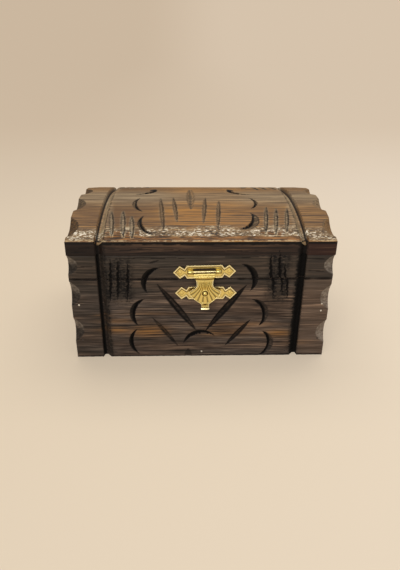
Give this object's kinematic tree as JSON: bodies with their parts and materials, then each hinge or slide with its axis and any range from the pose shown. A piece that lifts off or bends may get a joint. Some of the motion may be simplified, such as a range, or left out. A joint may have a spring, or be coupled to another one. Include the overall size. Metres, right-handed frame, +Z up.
{
  "type": "jewelry box",
  "caption": "Small carved wooden treasure-chest jewelry box with a domed hinged lid, strap grooves, scalloped corners, a brass shell hasp and a felt-lined floor.",
  "frame": {"origin": "middle of the flat underside that the box rests on", "axes": "+X along the box's width to the right as seen from the hasp side, +Y from the hasp to the hinges, +Z up"},
  "size_m": [0.16, 0.1235, 0.0905],
  "materials": {
    "stained_front": "near-black brown stain over brushed softwood, satin",
    "stained_lid": "worn brown stain over brushed softwood, satin",
    "yellow_brass": "bright stamped and plated",
    "nail_steel": "dull drawn wire",
    "red_felt": "short matt pile"
  },
  "bodies": {
    "box": {"body_front": "stained_front", "body_back": "stained_front", "body_left_end": "stained_front", "body_right_end": "stained_front", "base_panel": "stained_front", "floor_lining": "red_felt", "body_nails": "nail_steel", "base_nails": "nail_steel", "catch_plate": "yellow_brass", "catch_stud": "yellow_brass", "catch_plate_tacks": "yellow_brass", "left_hinge_body_leaf": "yellow_brass", "left_hinge_pin": "yellow_brass", "left_hinge_body_tacks": "yellow_brass", "right_hinge_body_leaf": "yellow_brass", "right_hinge_pin": "yellow_brass", "right_hinge_body_tacks": "yellow_brass"},
    "lid": {"lid_slab": "stained_lid", "lid_front_rail": "stained_front", "lid_back_rail": "stained_front", "lid_left_rail": "stained_front", "lid_right_rail": "stained_front", "hasp_plate": "yellow_brass", "hasp_pin": "yellow_brass", "hasp_plate_tacks": "yellow_brass", "left_hinge_lid_leaf": "yellow_brass", "left_hinge_lid_tacks": "yellow_brass", "right_hinge_lid_leaf": "yellow_brass", "right_hinge_lid_tacks": "yellow_brass"},
    "flap": {"hasp_flap": "yellow_brass"}
  },
  "joints": [
    {"name": "lid_hinge", "type": "hinge", "parent": "box", "child": "lid", "pos_m": [0, 0.0578, 0.05615], "axis": [-1, 0, 0], "range_deg": [0, 110]},
    {"name": "hasp_hinge", "type": "hinge", "parent": "lid", "child": "flap", "pos_m": [0.00169, -0.0579, 0.0617], "axis": [-0.9997, 0, -0.0244], "range_deg": [0, 130]}
  ]
}
